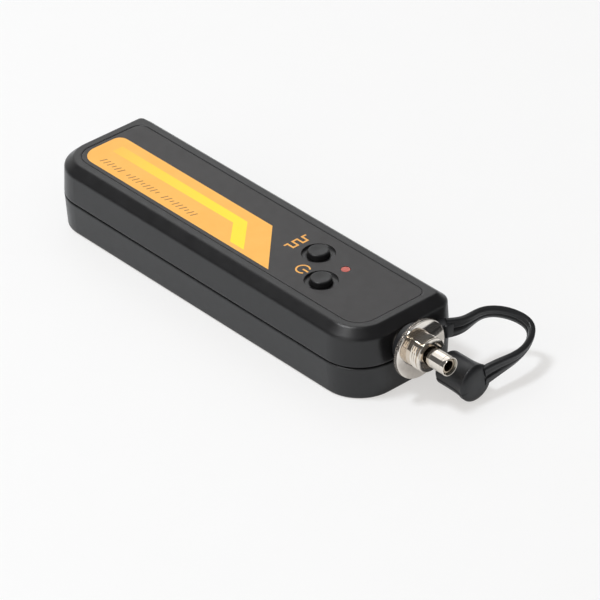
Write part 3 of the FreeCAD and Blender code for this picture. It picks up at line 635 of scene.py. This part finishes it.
# The strap's middle line in plan, from the eye to the cap, and its height at the eye. It drops by
# STRAP_FALL for each millimetre along X and climbs by STRAP_RISE for each millimetre along Y.
ROUTE = np.array([(54.0, 9.3), (55.2, 13.0), (55.4, 18.0), (58.6, 23.6),
                  (63.2, 25.4), (66.1, 21.4), (66.4, 13.4), (66.2, 8.7)])
ROUTE_HEIGHT = 11.1
STRAP_FALL = 0.476
STRAP_RISE = 0.111


def cap_body():
    """Cap turned about its axis: open mouth, and a body that sweeps out a little into its closed,
    crowned end. A parting groove runs round it, low on both sides, and under the groove the body
    is fuller than above it."""
    mouth = softened([(64.5, 0), (64.5, 2.25), (57.5, 2.25), (57.5, 3.78), (58.6, 3.78)],
                     [0, 0.3, 0.22, 0.5, 0], 9)
    t = np.linspace(0, 1, 28)
    flare = np.stack([58.9 + 6.9 * t, 3.78 + 0.46 * t ** 4], 1)
    turn = np.linspace(0, math.pi / 2, 30)[1:]
    crown = np.stack([65.8 + 1.13 * np.sin(turn) ** 1.25, 4.24 * np.cos(turn) ** 0.50], 1)
    crown[-1, 1] = 0
    profile = dense(np.vstack([mouth, flare, crown]), 0.16)
    widest = 4.38

    def parting(x, r, angle):
        dip = -np.sin(angle) - 0.30
        outside = np.clip((r - 2.6) / 0.6, 0, 1)
        lower = 0.5 + 0.5 * np.tanh(dip / 0.045)
        fuller = 0.22 + 0.10 * np.clip((x - 64.8) / 0.8, 0, 1)
        fuller = fuller * lower * np.clip((x - 57.5) / 0.5, 0, 1)
        fuller = np.minimum(fuller, widest - r) * (r < widest)
        return x, r + fuller * outside - 0.12 * outside * np.exp(-(dip * r / 0.16) ** 2)

    return turned("cap_body", profile, 360, (CAP_Y, CAP_Z), relief=parting)


def cap_strap():
    """Strap: a rounded band, carried along the route. It stands upright at both ends and across the
    route's tilted plane between them. A groove runs down the middle of both faces between two
    ribs, and the band flares where it joins the eye and the cap."""
    fall = STRAP_FALL * (ROUTE[:, 0] - ROUTE[0, 0])
    rise = STRAP_RISE * (ROUTE[:, 1] - ROUTE[0, 1])
    rows, sides = 300, 96
    line, tangent = natural_curve(np.column_stack([ROUTE, ROUTE_HEIGHT - fall + rise]), rows)
    t = np.arange(sides) * TAU / sides
    a = squared(np.cos(t), 0.5)
    b = squared(np.sin(t), 0.6)
    s = np.linspace(0, 1, rows)[:, None]
    root = 0.33
    ease = np.clip(np.minimum(s / root, (1 - s) / root), 0, 1)
    lean = ease * ease * (3 - 2 * ease)
    side = np.cross(lean * [STRAP_FALL, -STRAP_RISE, 0] + [0, 0, 1.0], tangent)
    side /= np.linalg.norm(side, axis=1, keepdims=True)
    up = np.cross(tangent, side)
    to_eye = np.clip(1 - s / root, 0, 1)
    to_cap = np.clip((s - 0.60) / 0.40, 0, 1)
    tall = 1.58 + 0.78 * to_eye ** 1.2 + 0.72 * to_cap ** 1.1
    thick = 0.80 + 0.05 * to_eye + 0.16 * to_cap ** 2
    inner = np.exp(-(b[None] * tall / 0.24) ** 2)
    shoulder = np.exp(-((np.abs(b[None] * tall) - 0.62 * tall) / 0.30) ** 2)
    groove = 1 - 0.46 * inner - 0.07 * shoulder
    points = line[:, None] + side[:, None] * (a[None, :] * groove * thick)[..., None]
    points = points + up[:, None] * (b[None, :] * tall)[..., None]
    return capped("cap_strap", points, line[0], line[-1])


def strap_root():
    """Block where the strap leaves the eye: a softened box whose section is a superellipse."""
    y = np.linspace(0, 1, 17)
    t = np.arange(64) * TAU / 64
    a = squared(np.cos(t), 0.25) * 1.5
    b = squared(np.sin(t), 0.25) * 1.7
    round_off = (1 - np.abs(2 * y - 1) ** 7 * 0.2)[:, None]
    x = 53.9 + a[None] * round_off
    z = 11.0 + b[None] * round_off
    return capped("strap_root", np.stack([x, np.broadcast_to(8.2 + 2.5 * y[:, None], x.shape), z], -1))


def neck_eye():
    """Eye round the adapter neck: a flat plate with a round hole. Its outline is the larger of a
    circle and a tab towards the far side, both measured from the hole's centre."""
    t = np.arange(240) * TAU / 240
    c, s = np.cos(t), np.sin(t)
    tab = np.minimum(9.55 / np.maximum(c, 1e-3), np.where(s > 0, 1.55, 1.95) / np.maximum(np.abs(s), 1e-3))
    edge = np.where(c > 0, np.maximum(4.58, tab), 4.58)
    share = softened([(52.42, 0), (52.42, 1), (54.88, 1), (54.88, 0)], [0.05, 0.1, 0.1, 0.05], 6, closed=True)
    radius = 3.68 + (edge[None] - 3.68) * share[:, 1:]
    x = np.broadcast_to(share[:, :1], radius.shape)
    points = np.stack([x, AXIS_Y + radius * c, AXIS_Z + radius * s], -1)
    return lay_grid("neck_eye", points, True, True)


for piece in (cap_body(), cap_strap(), strap_root(), neck_eye()):
    dress(piece, cap_finish, "cap", "rubber_cap", "dust_cap")


# ---- cells and their contacts --------------------------------------------------------------------

def dry_cell(name, y, nub_forward):
    """AAA cell: wrapped can with a shrunk edge at both ends, steel faces, a stepped nub and an
    insulating ring round it. The parts are turned about the cell's axis."""
    low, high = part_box(name)
    base, way = (low.x / MM, 1) if nub_forward else (high.x / MM, -1)
    wrap = softened([(0.55, 4.6), (0.25, 4.7), (0.25, 5.2), (42.95, 5.2), (43.05, 4.6), (42.7, 4.5)],
                    [0.05, 0.2, 0.4, 0.5, 0.2, 0.05], 6, closed=True)
    steel = softened([(0.02, 0), (0.02, 4.3), (0.5, 4.65), (42.75, 4.65), (42.75, 2.6), (43.1, 2.5),
                      (43.3, 1.85), (44.45, 1.8), (44.48, 0)], [0, 0.2, 0.1, 0.1, 0.1, 0.1, 0.1, 0.3, 0], 6)
    made = []
    for part, profile, closed in (("_wrap", wrap, True), ("_can", steel, False)):
        profile[:, 0] = base + way * profile[:, 0]
        made.append(turned(name + part, profile, 96, (y, CELL_Z), closed=closed))
    return made


for name, y, forward in (("cell_left", CELL_Y, True), ("cell_right", -CELL_Y, False)):
    wrap, can = dry_cell(name, y, forward)
    dress(wrap, cell_wrap, "case", "cell", name)
    dress(can, cell_steel, "case", "cell", name)


def cone_spring(name):
    """Contact spring: a helix of three turns whose radius shrinks towards the cell."""
    low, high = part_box(name)
    y = (low.y + high.y) / 2 / MM
    if name == "spring_far":
        start, end, way = low.x / MM, high.x / MM, 1
    else:
        start, end, way = high.x / MM, low.x / MM, -1
    wire_radius = 0.34
    t = np.linspace(0, 3 * TAU, 181)
    share = t / t[-1]
    x = start + way * wire_radius + (end - start - 2 * way * wire_radius) * share
    r = 2.85 - 1.0 * share
    line = np.stack([x, y + r * np.cos(t), CELL_Z + r * np.sin(t)], 1)
    return wire(name + "_wire", line, wire_radius)


for name in ("spring_far", "spring_near"):
    dress(cone_spring(name), contact_nickel, "case", "contact", name)


# ---- floor, backdrop, light and camera -----------------------------------------------------------

def sweep():
    """Studio sweep: a floor that turns up through a quarter circle into a wall behind the part. It
    is laid out in metres, and the floor lies a hair under the part."""
    turn = np.linspace(0, math.pi / 2, 24)
    depth = np.concatenate([np.linspace(-3.0, 1.3, 24), 1.3 + 0.5 * np.sin(turn), np.full(8, 1.8)])
    height = np.concatenate([np.zeros(24), 0.5 - 0.5 * np.cos(turn), np.linspace(0.55, 1.9, 8)])
    hair = 0.00003
    across = np.linspace(-2.6, 2.6, 30)
    back = np.array([-0.755, 0.655])
    along = np.array([0.655, 0.755])
    d, a = np.meshgrid(depth, across, indexing="ij")
    z = np.broadcast_to(height[:, None], d.shape)
    points = np.stack([d * back[0] + a * along[0], d * back[1] + a * along[1], z - hair], -1) / MM
    index = np.arange(d.size).reshape(d.shape)
    quads = np.stack([index[:-1, :-1], index[1:, :-1], index[1:, 1:], index[:-1, 1:]], -1).reshape(-1, 4)
    obj = mesh_of("studio_sweep", points.reshape(-1, 3), quads)
    if obj.data.polygons[0].normal.z < 0:
        obj.data.flip_normals()
    return obj


def put(tree, kind, **values):
    """A new node with its named sockets set."""
    node = tree.nodes.new(kind)
    for socket, value in values.items():
        node.inputs[socket].default_value = value
    return node


def pale_floor_material():
    """Pale paper. The lens sees part lit paper and part a steady white, so shadows stay but the
    paper doesn't grey. A mirror or glass sees less of the steady white."""
    material = bpy.data.materials.new("studio_paper")
    material.use_nodes = True
    tree = material.node_tree
    tree.nodes.clear()
    out = put(tree, "ShaderNodeOutputMaterial")
    lit = put(tree, "ShaderNodeBsdfDiffuse")
    place = put(tree, "ShaderNodeTexCoord")
    fibre = put(tree, "ShaderNodeTexNoise", Scale=60)
    tone = put(tree, "ShaderNodeValToRGB")
    tone.color_ramp.elements[0].color = (0.80, 0.835, 0.87, 1)
    tone.color_ramp.elements[1].color = (0.82, 0.855, 0.89, 1)
    steady = put(tree, "ShaderNodeEmission", Color=(1.0, 0.975, 0.95, 1), Strength=1.0)
    rays = put(tree, "ShaderNodeLightPath")
    mirrored = put(tree, "ShaderNodeMath")
    mirrored.operation = "MAXIMUM"
    mirrored_share = put(tree, "ShaderNodeMath")
    mirrored_share.operation = "MULTIPLY"
    mirrored_share.inputs[1].default_value = 0.3
    share = put(tree, "ShaderNodeMath")
    share.operation = "MULTIPLY_ADD"
    share.inputs[1].default_value = 0.58
    mix = put(tree, "ShaderNodeMixShader")
    links = tree.links
    links.new(place.outputs["Object"], fibre.inputs["Vector"])
    links.new(fibre.outputs["Fac"], tone.inputs["Fac"])
    links.new(tone.outputs["Color"], lit.inputs["Color"])
    links.new(rays.outputs["Is Glossy Ray"], mirrored.inputs[0])
    links.new(rays.outputs["Is Transmission Ray"], mirrored.inputs[1])
    links.new(mirrored.outputs[0], mirrored_share.inputs[0])
    links.new(rays.outputs["Is Camera Ray"], share.inputs[0])
    links.new(mirrored_share.outputs[0], share.inputs[2])
    links.new(share.outputs[0], mix.inputs["Fac"])
    links.new(lit.outputs[0], mix.inputs[1])
    links.new(steady.outputs[0], mix.inputs[2])
    links.new(mix.outputs[0], out.inputs["Surface"])
    return material


paper = sweep()
paper.data.materials.append(pale_floor_material())


def studio_world():
    """White round the lens, soft grey fill for the part, and a dim room in mirrors."""
    world = bpy.data.worlds.new("studio_room")
    bpy.context.scene.world = world
    world.use_nodes = True
    tree = world.node_tree
    tree.nodes.clear()
    out = put(tree, "ShaderNodeOutputWorld")
    fill = put(tree, "ShaderNodeBackground", Color=(1.0, 0.975, 0.935, 1), Strength=0.41)
    seen = put(tree, "ShaderNodeBackground", Color=(1, 1, 1, 1), Strength=1.0)
    room = put(tree, "ShaderNodeBackground", Color=(0.95, 0.97, 1.0, 1), Strength=0.12)
    rays = put(tree, "ShaderNodeLightPath")
    mirror = put(tree, "ShaderNodeMixShader")
    lens = put(tree, "ShaderNodeMixShader")
    links = tree.links
    links.new(rays.outputs["Is Glossy Ray"], mirror.inputs["Fac"])
    links.new(fill.outputs[0], mirror.inputs[1])
    links.new(room.outputs[0], mirror.inputs[2])
    links.new(rays.outputs["Is Camera Ray"], lens.inputs["Fac"])
    links.new(mirror.outputs[0], lens.inputs[1])
    links.new(seen.outputs[0], lens.inputs[2])
    links.new(lens.outputs[0], out.inputs["Surface"])


def standing(axes, place):
    """Matrix of an object whose own X, Y and Z run along three directions, from a place in metres."""
    matrix = Matrix(np.stack(axes, 1).tolist()).to_4x4()
    matrix.translation = place
    return matrix


def softbox(name, direction, distance, size, watts, tint=(1, 1, 1)):
    """Square area lamp that faces the part from a direction."""
    data = bpy.data.lights.new(name, "AREA")
    data.shape = "SQUARE"
    data.size = size
    data.energy = watts
    data.color = tint
    lamp = bpy.data.objects.new(name, data)
    bpy.context.scene.collection.objects.link(lamp)
    way = np.array(direction, float)
    way /= np.linalg.norm(way)
    side = np.cross([0, 0, 1.0], way)
    side /= np.linalg.norm(side)
    lamp.matrix_world = standing([side, np.cross(way, side), way], (way * distance).tolist())


studio_world()
softbox("key_softbox", (-0.18, -0.30, 0.93), 1.25, 0.24, 9.3, (0.985, 0.99, 1.0))
softbox("front_softbox", (0.15, -0.85, 0.42), 1.35, 1.0, 3.6)
softbox("rear_softbox", (-0.66, 0.34, 0.72), 1.15, 0.8, 1.9)

camera_data = bpy.data.cameras.new("product_camera")
camera_data.sensor_width = 36.0
camera_data.lens = 237.57
camera_data.clip_start = 0.01
camera_data.clip_end = 20
camera = bpy.data.objects.new("product_camera", camera_data)
bpy.context.scene.collection.objects.link(camera)
right = np.array([0.66487677, 0.74668685, -0.01994064])
down = np.array([0.40502427, -0.38282178, -0.83030285])
forward = np.array([-0.62760993, 0.54397263, -0.55695561])
camera.matrix_world = standing([right, -down, -forward], (0.55872, -0.46881, 0.48498))
bpy.context.scene.camera = camera
bpy.context.scene.view_settings.view_transform = "Standard"
